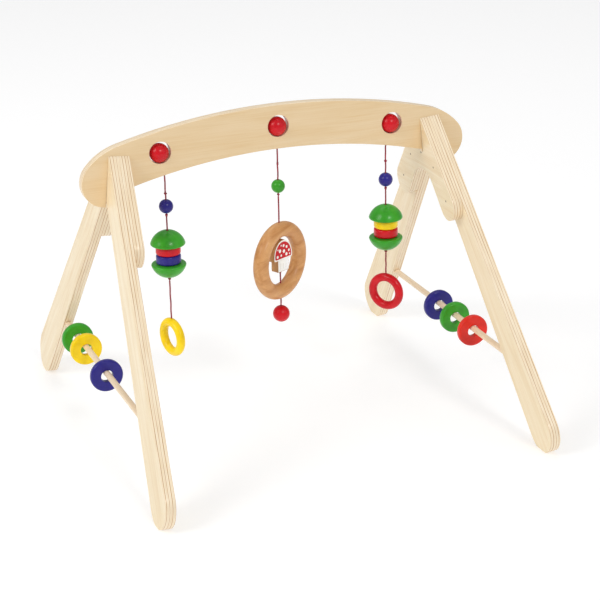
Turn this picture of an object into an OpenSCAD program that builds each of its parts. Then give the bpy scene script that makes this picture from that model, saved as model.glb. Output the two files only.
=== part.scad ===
// Wooden activity play gym for a baby.
// A curved arch stands on two A-shaped side frames that lean inward.
// Three cords hang from the arch with beads, stacks and rings, and turning discs ride on two side rods.
// Millimetres. +Z is up, the floor is Z = 0. The arch runs along X and the feet spread along Y.

/* [Boards] */
// Thickness of every plywood board
ply = 15; // [12:0.5:18]
// Half the width across the outer faces of the feet
base_half = 294.5; // [260:0.5:320]
// Inward lean of the side frames, degrees
splay = 5.7; // [0:0.1:10]
// Height of the seat where the arch crosses the side boards, along the board
seat_h = 398; // [380:1:410]
// Gap left around the crossing boards
joint_gap = 0.2; // [0.1:0.05:0.5]

/* [Legs] */
// Outer edge: distance from the middle at floor level
outer_foot = 360; // [340:1:380]
// Outer edge: inward run per unit of height
outer_slope = 0.8217; // [0.75:0.001:0.9]
// Inner edge: distance from the middle at floor level
inner_foot = 275.5; // [260:0.5:290]
// Inner edge: inward run per unit of height
inner_slope = 0.7347; // [0.65:0.001:0.8]
// Height of the centre of the rounded foot
foot_h = 31.3; // [25:0.1:40]
// Height of the centre of the rounded end on the joint plate
plate_end_h = 311.3; // [290:0.1:330]
// Radius of the crotch of the joint plate
crotch_r = 38; // [30:1:45]

/* [Arch] */
// Height of the top of the arch
arch_top = 470; // [430:1:500]
// Radius of the upper edge of the arch
arch_r = 930; // [800:5:1200]
// Depth of the arch band
arch_band = 64; // [50:1:80]
// Radius of the rounded end lobes
lobe_r = 34.5; // [28:0.5:40]
// Distance of a lobe from the middle
lobe_x = 257.5; // [250:0.5:265]
// Height of the lobe centre
lobe_z = 388; // [380:0.5:395]
// Radius of the shoulder between the upper edge and a lobe
shoulder_r = 88; // [80:1:95]
// Diameter of the holes that hold the pull balls
ball_hole_d = 32; // [28:0.5:36]
// Diameter of the cord holes
cord_hole_d = 4; // [3:0.5:6]

/* [Hanging toys] */
// Distance of the side toys from the middle
toy_x = 170; // [140:1:190]
// Diameter of the cord
cord_d = 2.4; // [1.5:0.1:4]
// Radius of a knot
knot_r = 2.6; // [2:0.1:3.5]
// Diameter of the pull balls
ball_d = 28; // [24:0.5:31]
// Diameter of the domed discs
dome_d = 51.6; // [40:0.2:60]
// Height of the domed discs
dome_h = 21.5; // [15:0.5:25]
// Diameter of the flat discs between the domes
stack_d = 36; // [28:1:45]
// Thickness of the flat discs between the domes
stack_t = 13.5; // [8:0.5:16]
// Centreline radius of the hanging rings
ring_r = 22.4; // [18:0.2:30]
// Tube radius of the hanging rings
ring_tube = 6.3; // [4:0.1:9]
// Centreline radius of the large ring
hoop_r = 47; // [40:0.5:55]
// Tube radius of the large ring
hoop_tube = 11.4; // [9:0.2:14]
// Diameter of the ball at the end of the middle cord
end_ball_d = 25; // [20:0.5:30]
// Thickness of the mushroom
mushroom_t = 13; // [10:0.5:16]

/* [Rods and discs] */
// Diameter of the side rods
rod_d = 9; // [7:0.5:12]
// Height of the side rods
rod_z = 110.6; // [90:0.2:130]
// Distance of the side rods from the middle
rod_x = 276; // [270:0.5:282]
// Diameter of the turning discs
disc_d = 48; // [40:1:56]
// Thickness of the turning discs
disc_t = 10; // [8:0.5:14]
// Diameter of the hole in a turning disc
disc_hole_d = 18; // [14:0.5:22]

/* [Hidden] */
$fn = 96;
birch = [0.93, 0.86, 0.72];
beech = [0.80, 0.61, 0.41];
red = [0.80, 0.04, 0.11];
orange_red = [0.84, 0.18, 0.12];
blue = [0.18, 0.16, 0.49];
green = [0.24, 0.59, 0.20];
yellow = [0.94, 0.80, 0.02];
maroon = [0.45, 0.05, 0.08];
paint_white = [0.95, 0.94, 0.90];

outer_n = sqrt(1 + outer_slope * outer_slope);
inner_n = sqrt(1 + inner_slope * inner_slope);
arch_centre_z = arch_top - arch_r;
arch_low_r = arch_r - arch_band;
outer_top_h = (outer_foot - ply / 2 - joint_gap) / outer_slope;
inner_top_h = inner_foot / inner_slope;
crotch_h = (inner_foot - crotch_r * inner_n) / inner_slope;
pin_d = 3;
// Each pin: distance from the middle, height along the board, length
pins = [[0, 374, 12], [39, 361, 24], [-39, 361, 24], [73, 318, 24], [-73, 318, 24]];
rod_half = 207;
ball_hole_z = arch_centre_z + arch_r - 31;
side_hole_x = 177;
side_hole_z = 422;
side_drill = 11;
side_pivot_z = 384.4;
mid_pivot_z = 401;
pivot_gap = 1.2;
ball_drop = (ball_hole_d - ball_d) / 2;
stack_gap = 0.3;
stack_rise = 2 * stack_t + 3 * stack_gap;
disc_z = rod_z - (disc_hole_d - rod_d) / 2 + 0.3;

left_knot_1 = 359.5;
left_bead_z = 340.9;
left_bead_d = 20.5;
left_knot_2 = 327.7;
left_flat_z = 256;
left_knot_3 = 231.6;
left_ring_z = 142;
left_turn = -75;

right_knot_1 = 363.2;
right_bead_z = 335;
right_bead_d = 21;
right_knot_2 = 321.5;
right_flat_z = 247;
right_knot_3 = 222.6;
right_ring_z = 158.7;
right_turn = -53;

mid_knot_1 = 381.6;
mid_bead_z = 347.8;
mid_bead_d = 20;
mid_knot_2 = 334.9;
mid_turn = 33;
mushroom_turn = 27;
hoop_z = 234;
mushroom_z = 219;
mid_knot_3 = 216;
hoop_low_z = hoop_z - hoop_r - hoop_tube;
end_ball_z = 150.6;

// ---------- board outlines ----------

// Radius of the circle that touches both edges at height h
function end_r(h) = (outer_foot - inner_foot - (outer_slope - inner_slope) * h) / (outer_n + inner_n);

// Distance of that circle's centre from the middle
function end_v(h) = outer_foot - outer_slope * h - end_r(h) * outer_n;

// Point where the circle at height h touches the outer (side = 1) or inner (side = -1) edge
function touch(h, side) =
    let (s = side > 0 ? outer_slope : inner_slope)
    let (n = side > 0 ? outer_n : inner_n)
    [end_v(h) + side * end_r(h) / n, h + side * end_r(h) * s / n];

// Tapered board from the middle line down to a rounded end at height h
module tapered_arm(h) {
    polygon([
        [0, inner_top_h],
        touch(h, -1),
        touch(h, 1),
        [ply / 2 + joint_gap, outer_top_h],
        [0, outer_top_h]
    ]);
    translate([end_v(h), h])
        circle(r = end_r(h));
}

// Notch at the top where the arch drops in
module arch_notch() {
    translate([-ply / 2 - joint_gap, seat_h])
        square([ply + 2 * joint_gap, 60]);
}

module leg_outline() {
    difference() {
        tapered_arm(foot_h);
        arch_notch();
    }
}

module plate_outline() {
    touch_v = crotch_r / inner_n;
    touch_h = crotch_h + crotch_r * inner_slope / inner_n;
    difference() {
        union() {
            tapered_arm(plate_end_h);
            mirror([1, 0])
                tapered_arm(plate_end_h);
            polygon([[0, inner_top_h + 1], [-touch_v, touch_h], [touch_v, touch_h]]);
        }
        translate([0, crotch_h])
            circle(r = crotch_r);
        arch_notch();
    }
}

// Stands a board of the left frame: outline across and up, depth inward from the outer face
module left_board(depth, thickness) {
    translate([-base_half, 0, 0])
        rotate([0, splay, 0])
            translate([depth, 0, 0])
                rotate([90, 0, 90])
                    linear_extrude(thickness)
                        children();
}

// Holes for the pins, from the inner face of the plate outward
module pin_holes(d, extra) {
    translate([-base_half, 0, 0])
        rotate([0, splay, 0])
            for (p = pins)
                translate([2 * ply - p[2] - extra, p[0], p[1]])
                    rotate([0, 90, 0])
                        cylinder(d = d, h = p[2] + 2 * extra);
}

module left_rod(d, half) {
    translate([-rod_x, -half, rod_z])
        rotate([-90, 0, 0])
            cylinder(d = d, h = 2 * half);
}

// ---------- frame ----------

module rear_leg_left_shape() {
    difference() {
        left_board(0, ply)
            leg_outline();
        translate([-base_half - 40, 0, -40])
            cube([100, 500, 40]);
        pin_holes(pin_d + 0.1, 0.1);
        left_rod(rod_d + 0.1, rod_half + 0.1);
    }
}

module rear_leg_left() {
    color(birch)
        rear_leg_left_shape();
}

module front_leg_left() {
    color(birch)
        mirror([0, 1, 0])
            rear_leg_left_shape();
}

module rear_leg_right() {
    color(birch)
        mirror([1, 0, 0])
            rear_leg_left_shape();
}

module front_leg_right() {
    color(birch)
        mirror([1, 0, 0])
            mirror([0, 1, 0])
                rear_leg_left_shape();
}

module joint_plate_left() {
    color(birch)
        difference() {
            left_board(ply, ply)
                plate_outline();
            pin_holes(pin_d + 0.1, 0.1);
        }
}

module joint_plate_right() {
    mirror([1, 0, 0])
        joint_plate_left();
}

module plate_pins_left() {
    color(beech)
        pin_holes(pin_d, 0);
}

module plate_pins_right() {
    mirror([1, 0, 0])
        plate_pins_left();
}

module ring_rod_left() {
    color(birch)
        left_rod(rod_d, rod_half);
}

module ring_rod_right() {
    mirror([1, 0, 0])
        ring_rod_left();
}

// Right half of the arch outline, lobe and shoulder included
module arch_half() {
    shoulder = [sqrt(pow(arch_r - shoulder_r, 2) - pow(353.7 - arch_centre_z, 2)), 353.7];
    top_dir = [shoulder[0], shoulder[1] - arch_centre_z] / (arch_r - shoulder_r);
    lobe_step = [lobe_x - shoulder[0], lobe_z - shoulder[1]];
    lobe_dir = lobe_step / norm(lobe_step);
    difference() {
        union() {
            intersection() {
                translate([0, arch_centre_z])
                    circle(r = arch_r);
                translate([-1, 300])
                    square([shoulder[0] + shoulder_r * top_dir[0] + 1, 200]);
            }
            intersection() {
                translate(shoulder)
                    circle(r = shoulder_r);
                polygon([
                    shoulder,
                    shoulder + 2 * shoulder_r * top_dir,
                    shoulder + 2 * shoulder_r * lobe_dir
                ]);
            }
        }
        translate([0, arch_centre_z])
            circle(r = arch_low_r);
    }
    translate([lobe_x, lobe_z])
        circle(r = lobe_r);
}

// Slot in the left end of the arch that drops over the left side frame
module frame_slot() {
    translate([-base_half, 0])
        rotate(-splay)
            translate([-joint_gap, 300])
                square([2 * ply + 2 * joint_gap, seat_h - 300]);
}

module arch_outline() {
    difference() {
        union() {
            arch_half();
            mirror([1, 0])
                arch_half();
        }
        frame_slot();
        mirror([1, 0])
            frame_slot();
        for (x = [-side_hole_x, side_hole_x])
            translate([x, side_hole_z])
                circle(d = ball_hole_d);
        translate([0, ball_hole_z])
            circle(d = ball_hole_d);
    }
}

// Cord hole drilled from the right ball hole toward the middle of the arch curve
module side_cord_hole() {
    translate([side_hole_x, 0, side_hole_z])
        rotate([0, side_drill, 0])
            translate([0, 0, -60])
                cylinder(d = cord_hole_d, h = 50);
}

module arch() {
    color(birch)
        difference() {
            rotate([90, 0, 0])
                linear_extrude(ply, center = true)
                    arch_outline();
            side_cord_hole();
            mirror([1, 0, 0])
                side_cord_hole();
            translate([0, 0, ball_hole_z - 60])
                cylinder(d = cord_hole_d, h = 50);
        }
}

// ---------- shared toy shapes ----------

// Half profile of a flat ring with rounded edges, bore radius r_in
module soft_profile(r_in, r_out, h, edge) {
    translate([r_in, edge])
        square([r_out - r_in, h - 2 * edge]);
    translate([r_in, 0])
        square([r_out - r_in - edge, h]);
    for (z = [edge, h - edge])
        translate([r_out - edge, z])
            circle(r = edge);
}

module torus(r, tube) {
    rotate_extrude()
        translate([r, 0])
            circle(r = tube);
}

module bored_ball(d, bore) {
    rotate_extrude()
        intersection() {
            circle(d = d);
            translate([bore / 2, -d])
                square([d, 2 * d]);
        }
}

// Domed disc with its flat side down at Z = 0
module dome_shape() {
    rim = 2.5;
    cap_r = (dome_d * dome_d / 4 + dome_h * dome_h) / (2 * dome_h);
    rotate_extrude()
        intersection() {
            translate([0, dome_h - cap_r])
                circle(r = cap_r);
            soft_profile(cord_hole_d / 2, dome_d / 2 - 0.1, 2 * dome_h, rim);
        }
}

module stack_disc() {
    rotate_extrude()
        soft_profile(cord_hole_d / 2, stack_d / 2, stack_t, 3);
}

// Cord along Z from z_low to z_high with a knot at each given height
module knotted_cord(x, z_low, z_high, knots) {
    color(maroon)
        translate([x, 0, 0]) {
            translate([0, 0, z_low])
                cylinder(d = cord_d, h = z_high - z_low);
            for (z = knots)
                translate([0, 0, z])
                    sphere(r = knot_r);
        }
}

// Small ring that hangs on its tail cord, with a blind hole for the cord at the top
module hanging_ring(x, z, turn) {
    difference() {
        translate([x, 0, z])
            rotate([0, 0, turn])
                rotate([90, 0, 0])
                    torus(ring_r, ring_tube);
        translate([x, 0, z + ring_r])
            cylinder(d = cord_hole_d, h = 2 * ring_tube);
    }
}

// ---------- cords ----------

// Short cord from a ball down its drilled hole and just out of the arch
module side_ball_cord() {
    drop = (side_hole_z - side_pivot_z - pivot_gap) / cos(side_drill);
    color(maroon)
        translate([side_hole_x, 0, side_hole_z])
            rotate([0, side_drill, 0])
                translate([0, 0, -drop])
                    cylinder(d = cord_d, h = drop - ball_drop - ball_d / 2 + 0.2);
}

module left_ball_cord() {
    mirror([1, 0, 0])
        side_ball_cord();
}

module centre_ball_cord() {
    color(maroon)
        translate([0, 0, mid_pivot_z + pivot_gap])
            cylinder(d = cord_d, h = ball_hole_z - ball_drop - ball_d / 2 + 0.2 - mid_pivot_z - pivot_gap);
}

module right_ball_cord() {
    side_ball_cord();
}

module left_hanger_cord() {
    knotted_cord(-toy_x, left_knot_2, side_pivot_z, [left_knot_1, left_knot_2]);
}

module centre_hanger_cord() {
    knotted_cord(0, mid_knot_2, mid_pivot_z, [mid_knot_1, mid_knot_2]);
}

module right_hanger_cord() {
    knotted_cord(toy_x, right_knot_2, side_pivot_z, [right_knot_1, right_knot_2]);
}

module left_string() {
    knotted_cord(-toy_x, left_knot_3, left_knot_2 - knot_r - 0.2, [left_knot_3]);
}

module centre_string() {
    knotted_cord(0, hoop_low_z + 0.8, mid_knot_2 - knot_r - 0.2, [mid_knot_3]);
}

module right_string() {
    knotted_cord(toy_x, right_knot_3, right_knot_2 - knot_r - 0.2, [right_knot_3]);
}

module left_tail_cord() {
    knotted_cord(-toy_x, left_ring_z + ring_r, left_knot_3 - knot_r - 0.2, []);
}

module centre_tail_cord() {
    knotted_cord(0, end_ball_z - end_ball_d / 2 + 1, hoop_low_z - 0.2, []);
}

module right_tail_cord() {
    knotted_cord(toy_x, right_ring_z + ring_r, right_knot_3 - knot_r - 0.2, []);
}

// ---------- balls and beads ----------

module side_pull_ball() {
    translate([side_hole_x, 0, side_hole_z])
        rotate([0, side_drill, 0])
            translate([0, 0, 0.3 - ball_drop])
                sphere(d = ball_d);
}

module left_pull_ball() {
    color(red)
        mirror([1, 0, 0])
            side_pull_ball();
}

module centre_pull_ball() {
    color(red)
        translate([0, 0, ball_hole_z + 0.3 - ball_drop])
            sphere(d = ball_d);
}

module right_pull_ball() {
    color(red)
        side_pull_ball();
}

module left_bead() {
    color(blue)
        translate([-toy_x, 0, left_bead_z])
            bored_ball(left_bead_d, cord_hole_d);
}

module centre_bead() {
    color(green)
        translate([0, 0, mid_bead_z])
            bored_ball(mid_bead_d, cord_hole_d);
}

module right_bead() {
    color(blue)
        translate([toy_x, 0, right_bead_z])
            bored_ball(right_bead_d, cord_hole_d);
}

module end_ball() {
    color(red)
        translate([0, 0, end_ball_z])
            bored_ball(end_ball_d, cord_hole_d);
}

// ---------- stacks ----------

module dome_up(x, flat_z) {
    color(green)
        translate([x, 0, flat_z])
            dome_shape();
}

module dome_down(x, flat_z) {
    color(green)
        translate([x, 0, flat_z])
            rotate([180, 0, 0])
                dome_shape();
}

module left_upper_dome() {
    dome_up(-toy_x, left_flat_z + stack_rise);
}

module left_upper_disc() {
    color(red)
        translate([-toy_x, 0, left_flat_z + stack_t + 2 * stack_gap])
            stack_disc();
}

module left_lower_disc() {
    color(blue)
        translate([-toy_x, 0, left_flat_z + stack_gap])
            stack_disc();
}

module left_lower_dome() {
    dome_down(-toy_x, left_flat_z);
}

module right_upper_dome() {
    dome_up(toy_x, right_flat_z + stack_rise);
}

module right_upper_disc() {
    color(yellow)
        translate([toy_x, 0, right_flat_z + stack_t + 2 * stack_gap])
            stack_disc();
}

module right_lower_disc() {
    color(red)
        translate([toy_x, 0, right_flat_z + stack_gap])
            stack_disc();
}

module right_lower_dome() {
    dome_down(toy_x, right_flat_z);
}

// ---------- rings and mushroom ----------

module left_ring() {
    color(yellow)
        hanging_ring(-toy_x, left_ring_z, left_turn);
}

module right_ring() {
    color(red)
        hanging_ring(toy_x, right_ring_z, right_turn);
}

module beech_ring() {
    color(beech)
        difference() {
            translate([0, 0, hoop_z])
                rotate([0, 0, mid_turn])
                    rotate([90, 0, 0])
                        torus(hoop_r, hoop_tube);
            translate([0, 0, hoop_low_z - 5])
                cylinder(d = cord_hole_d, h = 2 * (hoop_r + hoop_tube) + 10);
        }
}

// Mushroom outline: a waisted stem below a domed cap
module mushroom_outline() {
    cap_w = 40;
    cap_low = 18;
    cap_h = 30;
    stem_w = 23;
    intersection() {
        translate([0, cap_low - 3])
            scale([cap_w / 2, cap_h + 3])
                circle(r = 1);
        translate([-cap_w / 2, cap_low])
            square([cap_w, cap_h]);
    }
    translate([-stem_w / 2, 0])
        square([stem_w, cap_low + 1]);
}

module mushroom() {
    color(paint_white)
        difference() {
            translate([0, 0, mushroom_z])
                rotate([0, 0, mushroom_turn])
                    rotate([90, 0, 0])
                        linear_extrude(mushroom_t, center = true)
                            mushroom_outline();
            translate([0, 0, mushroom_z - 1])
                cylinder(d = cord_hole_d, h = 52);
        }
}

// ---------- discs on the side rods ----------

module rod_disc(side, y) {
    translate([side * rod_x, y + disc_t / 2, disc_z])
        rotate([90, 0, 0])
            rotate_extrude()
                difference() {
                    soft_profile(disc_hole_d / 2 - 1, disc_d / 2, disc_t, 3);
                    translate([0, -1])
                        square([disc_hole_d / 2, disc_t + 2]);
                }
}

module rod_disc_green_left() {
    color(green)
        rod_disc(-1, 138.5);
}

module rod_disc_yellow_left() {
    color(yellow)
        rod_disc(-1, 92.6);
}

module rod_disc_blue_left() {
    color(blue)
        rod_disc(-1, -15.6);
}

module rod_disc_blue_right() {
    color(blue)
        rod_disc(1, 37.4);
}

module rod_disc_green_right() {
    color(green)
        rod_disc(1, -19.3);
}

module rod_disc_red_right() {
    color(orange_red)
        rod_disc(1, -79.4);
}

arch();
front_leg_left();
front_leg_right();
rear_leg_left();
rear_leg_right();
joint_plate_left();
joint_plate_right();
plate_pins_left();
plate_pins_right();
ring_rod_left();
ring_rod_right();
left_pull_ball();
centre_pull_ball();
right_pull_ball();
left_ball_cord();
centre_ball_cord();
right_ball_cord();
left_hanger_cord();
centre_hanger_cord();
right_hanger_cord();
left_bead();
centre_bead();
right_bead();
left_string();
centre_string();
right_string();
left_upper_dome();
left_upper_disc();
left_lower_disc();
left_lower_dome();
right_upper_dome();
right_upper_disc();
right_lower_disc();
right_lower_dome();
left_tail_cord();
centre_tail_cord();
right_tail_cord();
left_ring();
right_ring();
beech_ring();
mushroom();
end_ball();
rod_disc_green_left();
rod_disc_yellow_left();
rod_disc_blue_left();
rod_disc_blue_right();
rod_disc_green_right();
rod_disc_red_right();
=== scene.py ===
"""Wooden activity play gym: plywood frame, lacquered toys and twisted cords.

Metres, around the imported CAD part.
"""

import math

import bpy
from mathutils import Matrix, Vector


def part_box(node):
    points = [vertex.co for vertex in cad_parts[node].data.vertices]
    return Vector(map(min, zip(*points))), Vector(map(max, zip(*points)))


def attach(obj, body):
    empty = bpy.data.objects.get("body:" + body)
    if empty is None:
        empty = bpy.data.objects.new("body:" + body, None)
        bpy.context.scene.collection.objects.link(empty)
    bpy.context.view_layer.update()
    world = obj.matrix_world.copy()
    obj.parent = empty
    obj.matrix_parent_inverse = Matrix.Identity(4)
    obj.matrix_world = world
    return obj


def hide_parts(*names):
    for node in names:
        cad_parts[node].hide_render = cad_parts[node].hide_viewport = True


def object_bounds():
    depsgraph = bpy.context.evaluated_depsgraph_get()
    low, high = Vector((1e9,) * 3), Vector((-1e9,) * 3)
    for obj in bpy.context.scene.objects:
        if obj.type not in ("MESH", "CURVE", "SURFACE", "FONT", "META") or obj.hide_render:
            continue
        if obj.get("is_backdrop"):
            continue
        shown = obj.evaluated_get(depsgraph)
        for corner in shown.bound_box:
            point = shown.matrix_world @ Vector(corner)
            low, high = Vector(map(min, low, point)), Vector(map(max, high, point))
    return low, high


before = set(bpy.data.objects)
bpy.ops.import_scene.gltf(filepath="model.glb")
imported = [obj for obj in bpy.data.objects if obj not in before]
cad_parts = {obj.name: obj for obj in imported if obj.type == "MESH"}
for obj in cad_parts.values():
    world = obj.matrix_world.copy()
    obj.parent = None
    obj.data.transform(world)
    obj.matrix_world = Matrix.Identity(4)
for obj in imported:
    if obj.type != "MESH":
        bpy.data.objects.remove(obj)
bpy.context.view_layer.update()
scene = bpy.context.scene

MM = 0.001

# Frame
SPLAY = math.radians(5.7)
BASE_HALF = 0.2945
PLY = 15 * MM
PLIES = 7
LEG_SLOPE = 0.778
EASED_EDGE = 1.1 * MM

# Toys
TOY_X = 0.170
ROD_X = 0.276
DISC_Z = 0.1064
DOME_D = 51.6
DOME_H = 21.5
STACK_D = 36
STACK_T = 13.5
STACK_GAP = 0.3
MUSHROOM_Z = 0.219
MUSHROOM_TURN = math.radians(27)
MUSHROOM_HALF_T = 6.5

# Cords
STRAND_OFFSET = 0.56 * MM
STRAND_R = 0.64 * MM
STRAND_PITCH = 5.2 * MM
CORD_STEP = 0.4 * MM

# ---------- colours ----------


def linear(r, g, b):
    """Display colour 0-255 to a linear RGBA colour."""
    out = []
    for c in (r, g, b):
        c = c / 255
        out.append(c / 12.92 if c <= 0.04045 else ((c + 0.055) / 1.055) ** 2.4)
    return (*out, 1.0)


# ---------- camera ----------


def make_camera():
    """Camera at the front left, looking down at the gym."""
    azimuth, elevation, roll = (math.radians(a) for a in (21.41, 21.01, -1.24))
    ahead = Vector((math.sin(azimuth), math.cos(azimuth), 0))
    look = ahead * math.cos(elevation) - Vector((0, 0, math.sin(elevation)))
    side = Vector((math.cos(azimuth), -math.sin(azimuth), 0))
    rise = side.cross(look)
    right = math.cos(roll) * side + math.sin(roll) * rise
    up = -math.sin(roll) * side + math.cos(roll) * rise
    data = bpy.data.cameras.new("main_camera")
    data.sensor_width = 36
    data.lens = 110.84
    data.shift_x = -0.002
    data.shift_y = 0.005
    data.dof.use_dof = False
    camera = bpy.data.objects.new("main_camera", data)
    scene.collection.objects.link(camera)
    turn = Matrix((right, up, -look)).transposed().to_4x4()
    camera.matrix_world = Matrix.Translation((-0.903, -2.3844, 1.1454)) @ turn
    scene.camera = camera


make_camera()

# ---------- node helpers ----------


class Shader:
    """A material with short calls for the few nodes used here."""

    def __init__(self, name, roughness, coat=0.0):
        self.mat = bpy.data.materials.new(name)
        self.mat.use_nodes = True
        self.tree = self.mat.node_tree
        self.bsdf = self.tree.nodes["Principled BSDF"]
        self.bsdf.inputs["Roughness"].default_value = roughness
        self.bsdf.inputs["Coat Weight"].default_value = coat
        self.bsdf.inputs["Coat Roughness"].default_value = 0.12
        self.place = self.add("ShaderNodeTexCoord")

    def add(self, kind, **settings):
        node = self.tree.nodes.new(kind)
        for key, value in settings.items():
            setattr(node, key, value)
        return node

    def link(self, value, socket):
        if isinstance(value, bpy.types.NodeSocket):
            self.tree.links.new(value, socket)
        else:
            socket.default_value = value

    def math(self, operation, a, b=0.0, c=0.0):
        node = self.add("ShaderNodeMath", operation=operation)
        for value, socket in zip((a, b, c), node.inputs):
            self.link(value, socket)
        return node.outputs[0]

    def dot(self, vector, axis):
        node = self.add("ShaderNodeVectorMath", operation="DOT_PRODUCT")
        self.link(vector, node.inputs[0])
        node.inputs[1].default_value = axis
        return node.outputs["Value"]

    def combine(self, x, y, z):
        node = self.add("ShaderNodeCombineXYZ")
        for value, socket in zip((x, y, z), node.inputs):
            self.link(value, socket)
        return node.outputs[0]

    def stretch(self, axes, scales):
        """Coordinates along three axes, each with its own scale."""
        return self.combine(*(self.math("MULTIPLY", axis, scale) for axis, scale in zip(axes, scales)))

    def noise(self, vector, scale=1.0, detail=3.0, rough=0.55, distort=0.0):
        node = self.add("ShaderNodeTexNoise")
        self.link(vector, node.inputs["Vector"])
        node.inputs["Scale"].default_value = scale
        node.inputs["Detail"].default_value = detail
        node.inputs["Roughness"].default_value = rough
        node.inputs["Distortion"].default_value = distort
        return node.outputs["Fac"]

    def ramp(self, factor, stops):
        node = self.add("ShaderNodeValToRGB")
        self.link(factor, node.inputs[0])
        line = node.color_ramp.elements
        while len(line) < len(stops):
            line.new(0.5)
        for element, (position, colour) in zip(line, stops):
            element.position = position
            element.color = colour
        return node.outputs[0]

    def step(self, value, low, high):
        node = self.add("ShaderNodeMapRange", interpolation_type="SMOOTHSTEP")
        self.link(value, node.inputs[0])
        node.inputs[1].default_value = low
        node.inputs[2].default_value = high
        return node.outputs[0]

    def mix(self, factor, a, b, blend="MIX"):
        node = self.add("ShaderNodeMix", data_type="RGBA", blend_type=blend)
        self.link(factor, node.inputs[0])
        self.link(a, node.inputs[6])
        self.link(b, node.inputs[7])
        return node.outputs[2]

    def bump(self, height, strength, distance):
        node = self.add("ShaderNodeBump")
        node.inputs["Strength"].default_value = strength
        node.inputs["Distance"].default_value = distance
        self.link(height, node.inputs["Height"])
        self.link(node.outputs[0], self.bsdf.inputs["Normal"])


def plywood(name, normal, grain, start, painted_shade=0.0):
    """Birch plywood: pale faces with fine grain along one direction, plies stacked along the normal;
    optional painted shade makes the faces darker and warmer.
    """
    normal = Vector(normal).normalized()
    grain = Vector(grain).normalized()
    s = Shader(name, 0.42, coat=0.12)
    place = s.place.outputs["Object"]
    along = s.dot(place, grain)
    cross = s.dot(place, normal.cross(grain))
    depth = s.dot(place, normal)
    axes = (along, cross, depth)

    # Face: long soft figure, fine grain and sparse darker flecks
    fine = s.noise(s.stretch(axes, (14, 620, 90)), detail=5)
    broad = s.noise(s.stretch(axes, (5, 55, 30)), distort=0.8)
    fleck = s.noise(s.stretch(axes, (160, 1500, 1)), detail=2)
    figure = s.math("ADD", s.math("MULTIPLY", fine, 0.45), s.math("MULTIPLY", broad, 0.55))
    face = s.ramp(figure, [(0.30, linear(228, 202, 158)),
                           (0.48, linear(239, 220, 184)),
                           (0.68, linear(247, 233, 205))])
    face = s.mix(s.math("MULTIPLY", s.step(fleck, 0.66, 0.74), 0.30), face, linear(196, 156, 104))
    # Painted shade: the face is mixed by this amount towards a darker, warmer tan, for a board that
    # stands in shade
    face = s.mix(painted_shade, face, linear(222, 180, 118))

    # Edge: plies with long grain between plies with end grain, and thin glue lines
    wobble = s.noise(s.combine(s.math("MULTIPLY", along, 9), s.math("MULTIPLY", cross, 9), 0.0))
    from_face = s.math("SUBTRACT", depth, start)
    layer = s.math("MULTIPLY_ADD", from_face, PLIES / PLY, s.math("MULTIPLY", wobble, 0.12))
    glue = s.math("SUBTRACT", 1.0, s.step(s.math("PINGPONG", layer, 0.5), 0.04, 0.14))
    odd = s.step(s.math("PINGPONG", layer, 1.0), 0.70, 0.86)
    streak = s.noise(s.stretch(axes, (26, 26, 900)), detail=4)
    long_ply = s.ramp(streak, [(0.35, linear(240, 218, 182)), (0.65, linear(252, 238, 212))])
    end_ply = s.ramp(streak, [(0.35, linear(180, 130, 76)), (0.65, linear(216, 172, 116))])
    ply_place = s.combine(s.math("FLOOR", layer), s.math("MULTIPLY", along, 6), 3.7)
    ply_tone = s.noise(ply_place, scale=1.7, detail=1)
    edge = s.mix(s.math("MULTIPLY", odd, s.step(ply_tone, 0.25, 0.62)), long_ply, end_ply)
    edge = s.mix(s.math("MULTIPLY", glue, 0.26), edge, linear(138, 92, 54))

    facing = s.math("ABSOLUTE", s.dot(s.place.outputs["Normal"], normal))
    is_face = s.step(facing, 0.80, 0.93)
    s.link(s.mix(is_face, edge, face), s.bsdf.inputs["Base Color"])
    s.bump(s.math("ADD", fine, s.math("MULTIPLY", glue, -0.6)), 0.12, 0.4 * MM)
    return s.mat


def solid_wood(name, light, dark, grain, roughness=0.45, coat=0.1):
    """Turned solid wood with fine pores and soft bands along one direction."""
    grain = Vector(grain).normalized()
    across = grain.orthogonal().normalized()
    s = Shader(name, roughness, coat)
    place = s.place.outputs["Object"]
    axes = [s.dot(place, axis) for axis in (grain, across, grain.cross(across))]
    bands = s.noise(s.stretch(axes, (9, 75, 75)), detail=4, distort=0.6)
    pores = s.noise(s.stretch(axes, (190, 1700, 1700)), detail=2)
    middle = tuple((a + b) / 2 for a, b in zip(light, dark))
    colour = s.ramp(bands, [(0.28, dark), (0.52, middle), (0.74, light)])
    shade = tuple(c * 0.45 for c in dark[:3]) + (1.0,)
    colour = s.mix(s.math("MULTIPLY", s.step(pores, 0.60, 0.70), 0.35), colour, shade)
    s.link(colour, s.bsdf.inputs["Base Color"])
    s.bump(s.math("ADD", bands, pores), 0.10, 0.3 * MM)
    return s.mat


def lacquer(name, colour, roughness=0.30, coat=0.10):
    """Coloured lacquer over turned wood: slight unevenness, faint pores, soft gloss."""
    s = Shader(name, roughness, coat)
    place = s.place.outputs["Object"]
    axes = [s.dot(place, axis) for axis in ((1, 0, 0), (0, 1, 0), (0, 0, 1))]
    cloud = s.noise(place, scale=38, detail=3)
    pores = s.noise(s.stretch(axes, (1400, 1400, 180)), detail=2)
    s.bsdf.inputs["Specular IOR Level"].default_value = 0.30
    deep = tuple(c * 0.82 for c in colour[:3]) + (1.0,)
    pale = tuple(min(1, c * 1.10 + 0.006) for c in colour[:3]) + (1.0,)
    s.link(s.ramp(cloud, [(0.34, deep), (0.52, colour), (0.70, pale)]), s.bsdf.inputs["Base Color"])
    uneven = s.math("MULTIPLY", cloud, 0.12)
    s.link(s.math("ADD", roughness - 0.05, uneven), s.bsdf.inputs["Roughness"])
    s.bump(s.math("ADD", s.math("MULTIPLY", pores, 0.6), cloud), 0.10, 0.4 * MM)
    return s.mat


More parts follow.
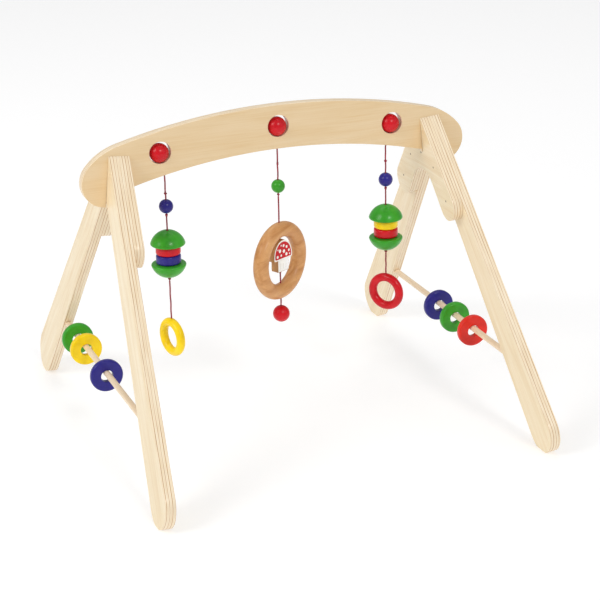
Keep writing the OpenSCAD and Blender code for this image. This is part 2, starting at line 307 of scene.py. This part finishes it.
def braid(name, light, dark):
    """Twisted cord: fine fibres and darker hollows."""
    s = Shader(name, 0.78)
    place = s.place.outputs["Object"]
    fibre = s.noise(place, scale=2600, detail=3)
    tone = s.noise(place, scale=160, detail=2)
    mixed = s.math("ADD", s.math("MULTIPLY", fibre, 0.6), s.math("MULTIPLY", tone, 0.4))
    s.link(s.ramp(mixed, [(0.35, dark), (0.62, light)]), s.bsdf.inputs["Base Color"])
    s.bsdf.inputs["Sheen Weight"].default_value = 0.35
    s.bump(fibre, 0.5, 0.2 * MM)
    return s.mat


BIRCH_LIGHT, BIRCH_DARK = linear(249, 232, 206), linear(232, 204, 168)
BEECH_LIGHT, BEECH_DARK = linear(230, 176, 116), linear(190, 126, 66)
RED = lacquer("red_lacquer", linear(210, 4, 26))
ORANGE_RED = lacquer("orange_red_lacquer", linear(228, 38, 20))
BLUE = lacquer("blue_lacquer", linear(38, 32, 132))
GREEN = lacquer("green_lacquer", linear(56, 162, 36))
YELLOW = lacquer("yellow_lacquer", linear(252, 214, 0))
BEECH = solid_wood("beech", BEECH_LIGHT, BEECH_DARK, (0.84, 0.54, 0.12))
ROD_BIRCH = solid_wood("birch_rod", BIRCH_LIGHT, BIRCH_DARK, (0, 1, 0))
PIN_WOOD = solid_wood("pin_wood", linear(150, 112, 80), linear(92, 66, 46), (1, 0, 0))
EDGE_WOOD = solid_wood("mushroom_edge", linear(214, 164, 104), linear(172, 120, 66), (0, 0, 1))
WHITE_PAINT = lacquer("white_paint", linear(252, 250, 244), 0.45, 0.1)
CAP_PAINT = lacquer("cap_paint", linear(204, 6, 26), 0.40, 0.05)
LINE_PAINT = lacquer("line_paint", linear(196, 190, 180), 0.5, 0.0)
CORD = braid("cord", linear(176, 22, 52), linear(98, 10, 32))

# ---------- boards ----------


def paint_node(name, material):
    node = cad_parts[name]
    node.data.materials.clear()
    node.data.materials.append(material)
    return node


def ease_edges(node, width):
    """Sanded edges, as modifiers, so that the CAD mesh itself stays unchanged."""
    weld = node.modifiers.new("weld", "WELD")
    weld.merge_threshold = 0.00002
    bevel = node.modifiers.new("eased_edges", "BEVEL")
    bevel.width = width
    bevel.segments = 3
    bevel.limit_method = "ANGLE"
    bevel.angle_limit = math.radians(35)
    bevel.harden_normals = True


side_start = -BASE_HALF * math.cos(SPLAY)
for side, sx in (("left", 1), ("right", -1)):
    normal = Vector((sx * math.cos(SPLAY), 0, -math.sin(SPLAY)))
    rise = Vector((sx * math.sin(SPLAY), 0, math.cos(SPLAY)))
    for place, sy in (("front", -1), ("rear", 1)):
        grain = rise + Vector((0, -LEG_SLOPE * sy, 0))
        name = f"{place}_leg_{side}"
        leg = paint_node(name, plywood(name + "_ply", normal, grain, side_start))
        ease_edges(leg, EASED_EDGE)
    name = f"joint_plate_{side}"
    plate = paint_node(name, plywood(name + "_ply", normal, (0, 1, 0), side_start))
    ease_edges(plate, EASED_EDGE)
    paint_node(f"plate_pins_{side}", PIN_WOOD)
    paint_node(f"ring_rod_{side}", ROD_BIRCH)
# The arch gets painted shade: its faces are a darker, warmer copy of the legs' birch plywood
arch_ply = plywood("arch_ply", (0, 1, 0), (1, 0, 0), -PLY / 2, painted_shade=0.44)
ease_edges(paint_node("arch", arch_ply), EASED_EDGE)

# ---------- turned toys ----------


def mesh_object(name, verts, faces, material, smooth=True):
    data = bpy.data.meshes.new(name)
    data.from_pydata(verts, [], faces)
    data.update()
    data.materials.append(material)
    for polygon in data.polygons:
        polygon.use_smooth = smooth
    obj = bpy.data.objects.new(name, data)
    scene.collection.objects.link(obj)
    return obj


def arc(centre, radius, start, end, count):
    """Points of an arc in the (radius, height) plane, angles in degrees."""
    points = []
    for i in range(count + 1):
        a = math.radians(start + (end - start) * i / count)
        points.append((centre[0] + radius * math.cos(a), centre[1] + radius * math.sin(a)))
    return points


def lathe(name, profile, material, segments=96):
    """Closed ring swept round Z from a closed (radius, height) profile in millimetres."""
    count = len(profile)
    verts = []
    for i in range(segments):
        a = 2 * math.pi * i / segments
        verts += [(r * math.cos(a) * MM, r * math.sin(a) * MM, z * MM) for r, z in profile]
    faces = []
    for i in range(segments):
        j = (i + 1) % segments
        for k in range(count):
            n = (k + 1) % count
            faces.append((i * count + k, j * count + k, j * count + n, i * count + n))
    return mesh_object(name, verts, faces, material)


def stand_for(obj, node, body, at, turn=Matrix.Identity(4)):
    """Puts a toy in place, in the stead of its CAD node, on its own body."""
    obj.data.transform(Matrix.Translation(at) @ turn)
    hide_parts(node)
    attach(obj, body)
    return obj


def ball_profile(d, bore):
    """Turned bead: a sphere with countersunk bore mouths."""
    r = d / 2
    sink = bore / 2 + 0.7
    edge = math.degrees(math.acos(sink / r))
    outer = arc((0, 0), r, -edge, edge, 40)
    mouth = outer[-1][1]
    low_mouth = [(bore / 2, -mouth + 0.8), (sink - 0.25, -mouth + 0.12)]
    high_mouth = [(sink - 0.25, mouth - 0.12), (bore / 2, mouth - 0.8)]
    return low_mouth + outer + high_mouth


def dome_profile():
    """Domed disc, flat side down, with a rounded rim and a countersunk bore."""
    cap_r = ((DOME_D / 2) ** 2 + DOME_H**2) / (2 * DOME_H)
    centre = (0, DOME_H - cap_r)
    top = math.degrees(math.acos(2.9 / cap_r))
    low = math.degrees(math.asin((2.6 - centre[1]) / cap_r))
    rim_x = cap_r * math.cos(math.radians(low))
    rim = arc((rim_x - 2.4, 2.4), 2.4, -90, 0, 8)
    dome = arc(centre, cap_r, low, top, 36)
    return [(2.0, 0.6), (2.6, 0)] + rim + dome + [(2.4, DOME_H - 0.4), (2.0, DOME_H - 1.0)]


def disc_profile(bore, d, h, edge=3.0):
    """Flat turned disc centred on Z = 0 with soft edges and an eased bore."""
    r = d / 2
    half = h / 2
    ease = 0.8
    low = arc((r - edge, -half + edge), edge, -90, 0, 10)
    high = arc((r - edge, half - edge), edge, 0, 90, 10)
    mouth_low = arc((bore / 2 + ease, -half + ease), ease, 180, 270, 4)
    mouth_high = arc((bore / 2 + ease, half - ease), ease, 90, 180, 4)
    return mouth_low + low + high + mouth_high


def ring_profile(r, tube):
    return arc((r, 0), tube, 0, 360, 48)[:-1]


def upright(turn_deg):
    """Turns a flat ring to stand on edge, at an angle round Z."""
    return Matrix.Rotation(math.radians(turn_deg), 4, "Z") @ Matrix.Rotation(math.radians(90), 4, "X")


UPSIDE_DOWN = Matrix.Rotation(math.pi, 4, "X")
ALONG_Y = Matrix.Rotation(math.radians(90), 4, "X")

BEADS = (("left", -TOY_X, 0.3409, 20.5, BLUE, "blue_lacquer"),
         ("centre", 0, 0.3478, 20, GREEN, "green_lacquer"),
         ("right", TOY_X, 0.335, 21, BLUE, "blue_lacquer"))
for side, x, z, d, material, slot_name in BEADS:
    bead = lathe(f"{side}_bead_turned", ball_profile(d, 4), material)
    stand_for(bead, f"{side}_bead", f"{side}_bead", (x, 0, z))

end_ball = lathe("end_ball_turned", ball_profile(25, 4), RED)
stand_for(end_ball, "end_ball", "centre_tail", (0, 0, 0.1506))

STACKS = (("left", -TOY_X, 0.2560, RED, "red_lacquer", BLUE, "blue_lacquer"),
          ("right", TOY_X, 0.2470, YELLOW, "yellow_lacquer", RED, "red_lacquer"))
for side, x, z, upper, upper_slot, lower, lower_slot in STACKS:
    dome = lathe(f"{side}_lower_dome_turned", dome_profile(), GREEN)
    stand_for(dome, f"{side}_lower_dome", f"{side}_lower_dome", (x, 0, z), UPSIDE_DOWN)
    low_z = z + (STACK_GAP + STACK_T / 2) * MM
    disc = lathe(f"{side}_lower_disc_turned", disc_profile(4, STACK_D, STACK_T), lower)
    stand_for(disc, f"{side}_lower_disc", f"{side}_lower_disc", (x, 0, low_z))
    high_z = low_z + (STACK_GAP + STACK_T) * MM
    disc = lathe(f"{side}_upper_disc_turned", disc_profile(4, STACK_D, STACK_T), upper)
    stand_for(disc, f"{side}_upper_disc", f"{side}_upper_disc", (x, 0, high_z))
    dome_z = high_z + (STACK_GAP + STACK_T / 2) * MM
    dome = lathe(f"{side}_upper_dome_turned", dome_profile(), GREEN)
    stand_for(dome, f"{side}_upper_dome", f"{side}_upper_dome", (x, 0, dome_z))

ring = lathe("left_ring_turned", ring_profile(22.4, 6.3), YELLOW, 160)
stand_for(ring, "left_ring", "left_ring", (-TOY_X, 0, 0.142), upright(-75))
ring = lathe("right_ring_turned", ring_profile(22.4, 6.3), RED, 160)
stand_for(ring, "right_ring", "right_ring", (TOY_X, 0, 0.1587), upright(-53))
hoop = lathe("beech_ring_turned", ring_profile(47, 11.4), BEECH, 200)
stand_for(hoop, "beech_ring", "beech_ring", (0, 0, 0.234), upright(33))

ROD_DISCS = (("green_left", -1, 0.1385, GREEN, "green_lacquer"),
             ("yellow_left", -1, 0.0926, YELLOW, "yellow_lacquer"),
             ("blue_left", -1, -0.0156, BLUE, "blue_lacquer"),
             ("blue_right", 1, 0.0374, BLUE, "blue_lacquer"),
             ("green_right", 1, -0.0193, GREEN, "green_lacquer"),
             ("red_right", 1, -0.0794, ORANGE_RED, "orange_red_lacquer"))
for name, sx, y, material, slot_name in ROD_DISCS:
    disc = lathe(f"rod_disc_{name}_turned", disc_profile(18, 48, 10), material)
    stand_for(disc, f"rod_disc_{name}", f"rod_disc_{name}", (sx * ROD_X, y, DISC_Z), ALONG_Y)

for side in ("left", "centre", "right"):
    low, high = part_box(f"{side}_pull_ball")
    middle = (Vector(low) + Vector(high)) / 2
    ball = lathe(f"{side}_pull_ball_turned", ball_profile(27.9, 3), RED)
    stand_for(ball, f"{side}_pull_ball", f"{side}_pull", middle)

# ---------- mushroom ----------


def plate_piece(name, outline, thick, offset, material):
    """Flat piece in the mushroom's own plane, all in mm: (across, height) outline, offset and depth."""
    count = len(outline)
    verts = [(x * MM, offset * MM, z * MM) for x, z in outline]
    verts += [(x * MM, (offset + thick) * MM, z * MM) for x, z in outline]
    faces = [tuple(range(count)), tuple(range(2 * count - 1, count - 1, -1))]
    faces += [(i, i + count, (i + 1) % count + count, (i + 1) % count) for i in range(count)]
    obj = mesh_object(name, verts, faces, material, smooth=False)
    obj.data.transform(Matrix.Translation((0, 0, MUSHROOM_Z)) @ Matrix.Rotation(MUSHROOM_TURN, 4, "Z"))
    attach(obj, "mushroom")
    return obj


def cap_outline(half_w, low, high):
    """Domed cap: an arch from one rounded corner over to the other."""
    points = []
    for i in range(41):
        a = math.pi * i / 40
        points.append((half_w * math.cos(a), low + 2.2 + (high - low - 2.2) * math.sin(a) ** 0.9))
    corner = [(-half_w + 0.6, low + 0.7), (-half_w + 2.0, low)]
    return points + corner + [(-x, z) for x, z in reversed(corner)]


def ellipse(x, z, rx, rz, count=20):
    angles = [2 * math.pi * i / count for i in range(count)]
    return [(x + rx * math.cos(a), z + rz * math.sin(a)) for a in angles]


core = paint_node("mushroom", EDGE_WOOD)
ease_edges(core, 0.0006)
DOTS = ((-12.5, 24.4, 2.1), (-7.0, 32.4, 2.6), (-4.5, 24.9, 1.7), (1.0, 39.0, 2.0),
        (1.5, 30.4, 2.5), (7.5, 35.9, 1.9), (6.8, 24.8, 2.3), (12.4, 29.4, 1.9),
        (13.8, 23.6, 1.3), (-11.4, 35.0, 1.1), (-4.2, 40.2, 1.2))
STEM = ((-11.1, 0.5), (11.1, 0.5), (11.1, 18.4), (-11.1, 18.4))
WHITE_CAP = cap_outline(19.4, 18.4, 47.5)
RED_CAP = cap_outline(17.4, 20.2, 45.2)
for face, out in (("front", -1), ("back", 1)):
    base = MUSHROOM_HALF_T * out
    under = base - 0.1 * out
    plate_piece(f"mushroom_white_cap_{face}", WHITE_CAP, 0.25 * out, under, WHITE_PAINT)
    plate_piece(f"mushroom_white_stem_{face}", STEM, 0.25 * out, under, WHITE_PAINT)
    plate_piece(f"mushroom_red_cap_{face}", RED_CAP, 0.20 * out, base + 0.10 * out, CAP_PAINT)
    for i, (x, z, r) in enumerate(DOTS):
        dot = ellipse(x, z, r, r * 1.08)
        plate_piece(f"mushroom_dot_{face}_{i}", dot, 0.10 * out, base + 0.28 * out, WHITE_PAINT)
    for i, x in enumerate((-6.5, -1.0, 5.0)):
        line = [(x, 4), (x + 0.5, 4), (x + 0.9, 13 - i), (x + 0.5, 13 - i)]
        plate_piece(f"mushroom_line_{face}_{i}", line, 0.06 * out, base + 0.14 * out, LINE_PAINT)

# ---------- cords ----------


def tube(points, radius, sides, closed=False):
    """Vertices and faces of a round tube along points."""
    verts, faces = [], []
    count = len(points)
    reference = Vector((0.31, 0.86, 0.41))
    for i, p in enumerate(points):
        before = points[(i - 1) % count] if closed else points[max(i - 1, 0)]
        after = points[(i + 1) % count] if closed else points[min(i + 1, count - 1)]
        ahead = (after - before).normalized()
        first = ahead.cross(reference).normalized()
        second = ahead.cross(first)
        for k in range(sides):
            a = 2 * math.pi * k / sides
            verts.append(p + radius * (math.cos(a) * first + math.sin(a) * second))
    for i in range(count if closed else count - 1):
        j = (i + 1) % count
        for k in range(sides):
            n = (k + 1) % sides
            faces.append((i * sides + k, j * sides + k, j * sides + n, i * sides + n))
    if not closed:
        faces.append(tuple(range(sides)))
        faces.append(tuple(range(count * sides - 1, (count - 1) * sides - 1, -1)))
    return verts, faces


def knot(centre, turn, size=0.58 * MM):
    """Small tight overhand knot."""
    points = []
    for i in range(72):
        t = 2 * math.pi * i / 72
        across = math.sin(t) + 2 * math.sin(2 * t)
        height = math.cos(t) - 2 * math.cos(2 * t)
        p = Vector((across, 0.75 * math.sin(3 * t), height)) * size
        p.rotate(Matrix.Rotation(turn, 3, "Z"))
        points.append(centre + p)
    return tube(points, 0.85 * MM, 8, closed=True)


def strands(name, line, knots, x):
    """Three twisted strands round a line, with knots at the given heights."""
    run = 0.0
    turns = [0.0]
    for a, b in zip(line, line[1:]):
        run += (b - a).length
        turns.append(2 * math.pi * run / STRAND_PITCH)
    parts = []
    for strand in range(3):
        points = []
        for p, turn in zip(line, turns):
            a = turn + 2 * math.pi * strand / 3
            points.append(p + Vector((math.cos(a), math.sin(a), 0)) * STRAND_OFFSET)
        parts.append(tube(points, STRAND_R, 8))
    for i, z in enumerate(knots):
        parts.append(knot(Vector((x, 0, z)), 0.7 + 1.1 * i + 9 * x))
    verts, faces = [], []
    for part_verts, part_faces in parts:
        start = len(verts)
        verts += part_verts
        faces += [tuple(index + start for index in face) for face in part_faces]
    return mesh_object(name, verts, faces, CORD)


def twisted_cord(name, node, body, x, high, low, knots):
    """Cord hanging down from high to low, with a slight natural waver."""
    length = high - low
    steps = int(length / CORD_STEP)
    line = []
    for i in range(steps + 1):
        t = i / steps
        sway = 0.3 * MM * math.sin(math.pi * t) * math.sin(5 * math.pi * t + 40 * x)
        line.append(Vector((x + sway, 0.6 * sway, high - length * t)))
    cord = strands(name, line, knots, x)
    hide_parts(node)
    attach(cord, body)


def ball_cord(side, top, bottom):
    """Short cord from a pull ball through its drilled hole to just below the arch."""
    top, bottom = Vector(top), Vector(bottom)
    line = [top.lerp(bottom, i / 50) for i in range(51)]
    cord = strands(f"{side}_drilled_cord", line, (), top.x)
    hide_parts(f"{side}_ball_cord")
    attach(cord, f"{side}_pull")


ball_cord("left", (-0.17395, 0, 0.4063), (-0.1700, 0, 0.3850))
ball_cord("centre", (0, 0, 0.4231), (0, 0, 0.4016))
ball_cord("right", (0.17395, 0, 0.4063), (0.1700, 0, 0.3850))

HANGERS = (("left", -TOY_X, 0.3844, 0.3595, 0.3277),
           ("centre", 0.0, 0.4010, 0.3816, 0.3349),
           ("right", TOY_X, 0.3844, 0.3632, 0.3215))
for side, x, high, knot_1, knot_2 in HANGERS:
    twisted_cord(f"{side}_hanger", f"{side}_hanger_cord", f"{side}_hanger",
                 x, high, knot_2, (knot_1, knot_2))

STRINGS = (("left", -TOY_X, 0.3249, 0.2316, 0.2316, "knot"),
           ("centre", 0.0, 0.3321, 0.1764, 0.2160, "object"),
           ("right", TOY_X, 0.3187, 0.2226, 0.2226, "knot"))
for side, x, high, low, knot_z, far_end in STRINGS:
    twisted_cord(f"{side}_string_twisted", f"{side}_string", f"{side}_string",
                 x, high, low, (knot_z,))

TAILS = (("left", -TOY_X, 0.2288, 0.1644),
         ("centre", 0.0, 0.1754, 0.1391),
         ("right", TOY_X, 0.2198, 0.1811))
for side, x, high, low in TAILS:
    twisted_cord(f"{side}_tail", f"{side}_tail_cord", f"{side}_tail",
                 x, high, low, ())

# ---------- floor and light ----------


def make_floor():
    """Plain white floor, lit a little from within so that it stays near white."""
    s = Shader("floor_white", 0.9)
    s.bsdf.inputs["Base Color"].default_value = (0.62, 0.62, 0.625, 1)
    s.bsdf.inputs["Emission Color"].default_value = (1, 1, 1, 1)
    s.bsdf.inputs["Emission Strength"].default_value = 0.46
    corners = [(-9, -7, 0), (9, -7, 0), (9, 14, 0), (-9, 14, 0)]
    floor = mesh_object("floor", corners, [(0, 1, 2, 3)], s.mat, smooth=False)
    floor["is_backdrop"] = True


def area_light(name, place, target, size, power, colour):
    data = bpy.data.lights.new(name, "AREA")
    data.size = size
    data.energy = power
    data.color = colour
    light = bpy.data.objects.new(name, data)
    scene.collection.objects.link(light)
    aim = (Vector(target) - Vector(place)).to_track_quat("-Z", "Y")
    light.matrix_world = Matrix.Translation(place) @ aim.to_matrix().to_4x4()


def front_light(name, direction, softness_deg, strength):
    """Broad even light from the front that lays faint shadows behind the gym."""
    data = bpy.data.lights.new(name, "SUN")
    data.energy = strength
    data.angle = math.radians(softness_deg)
    light = bpy.data.objects.new(name, data)
    scene.collection.objects.link(light)
    light.matrix_world = Vector(direction).to_track_quat("-Z", "Y").to_matrix().to_4x4()


make_floor()
area_light("key_left", (-3.4, -0.5, 2.8), (0, 0, 0.2), 2.2, 72, (1.0, 0.985, 0.96))
area_light("fill_right", (2.6, -2.6, 2.4), (0, 0, 0.2), 2.6, 9, (0.98, 0.99, 1.0))
area_light("top", (0.4, 0.9, 3.4), (0, 0, 0), 2.4, 22, (1, 1, 1))
front_light("front", (-0.12, 1.0, -0.78), 14, 0.74)
world = bpy.data.worlds.new("studio")
world.use_nodes = True
world.node_tree.nodes["Background"].inputs[0].default_value = (1, 1, 1, 1)
world.node_tree.nodes["Background"].inputs[1].default_value = 0.42
scene.world = world
scene.view_settings.view_transform = "Standard"

low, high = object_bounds()
